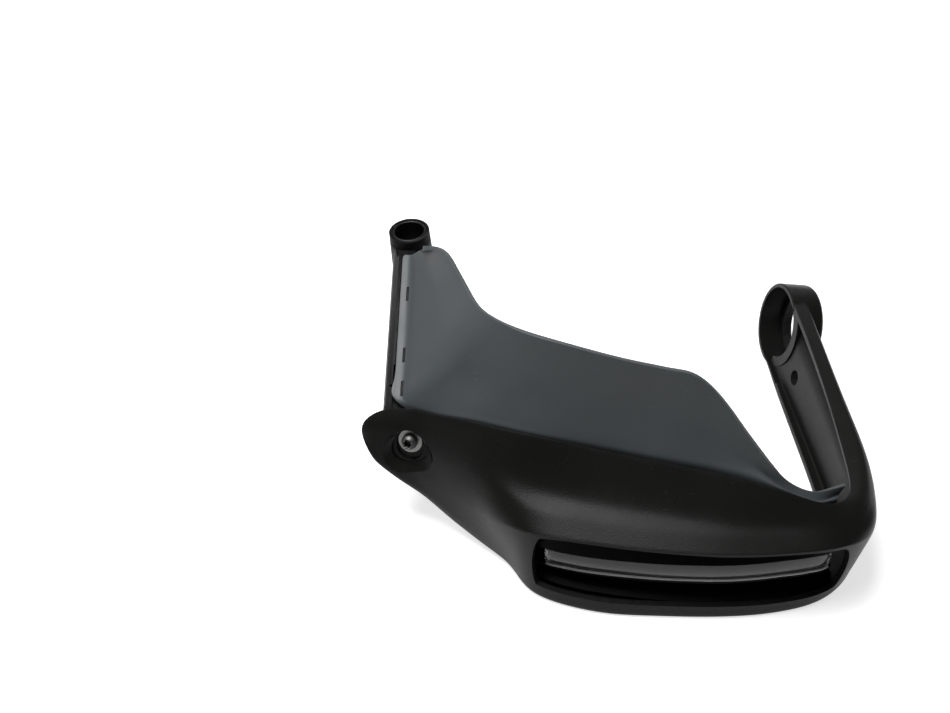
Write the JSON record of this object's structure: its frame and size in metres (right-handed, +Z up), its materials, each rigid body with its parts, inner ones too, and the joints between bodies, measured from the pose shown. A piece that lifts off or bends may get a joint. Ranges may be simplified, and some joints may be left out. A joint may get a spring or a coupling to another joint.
{
  "type": "motorcycle hand guard",
  "caption": "Black moulded hand guard for a handlebar, with a dark grey wind shield, a channel bracket with a clamp boss, a slot with a clear strip and a bar end ring.",
  "frame": {"origin": "middle of the clamp boss's top face, on the axis of its bore", "axes": "+X from the clamp boss toward the bar end ring, +Y toward the rider's hand, +Z up"},
  "size_m": [0.2453, 0.201, 0.1132],
  "materials": {
    "frame_plastic": "satin, fine moulded grain",
    "shield_plastic": "satin, fine moulded grain",
    "bracket_plastic": "satin",
    "sleeve_metal": "dark satin",
    "insert_brass": "knurled",
    "clear_plastic": "clear, polished",
    "carrier_plastic": "glossy",
    "screw_steel": "zinc plated",
    "washer_steel": "zinc plated",
    "rear_screw_steel": "black oxide"
  },
  "bodies": {
    "root": {"frame": "frame_plastic", "shield": "shield_plastic", "bracket": "bracket_plastic", "sleeve": "sleeve_metal", "threaded_insert": "insert_brass", "clear_strip": "clear_plastic", "strip_carrier": "carrier_plastic", "front_screw": "screw_steel", "front_washer": "washer_steel", "shield_screw_1": "rear_screw_steel", "shield_screw_2": "rear_screw_steel", "shield_screw_3": "rear_screw_steel", "shield_screw_4": "rear_screw_steel", "carrier_screw_1": "rear_screw_steel", "carrier_screw_2": "rear_screw_steel"}
  },
  "joints": []
}
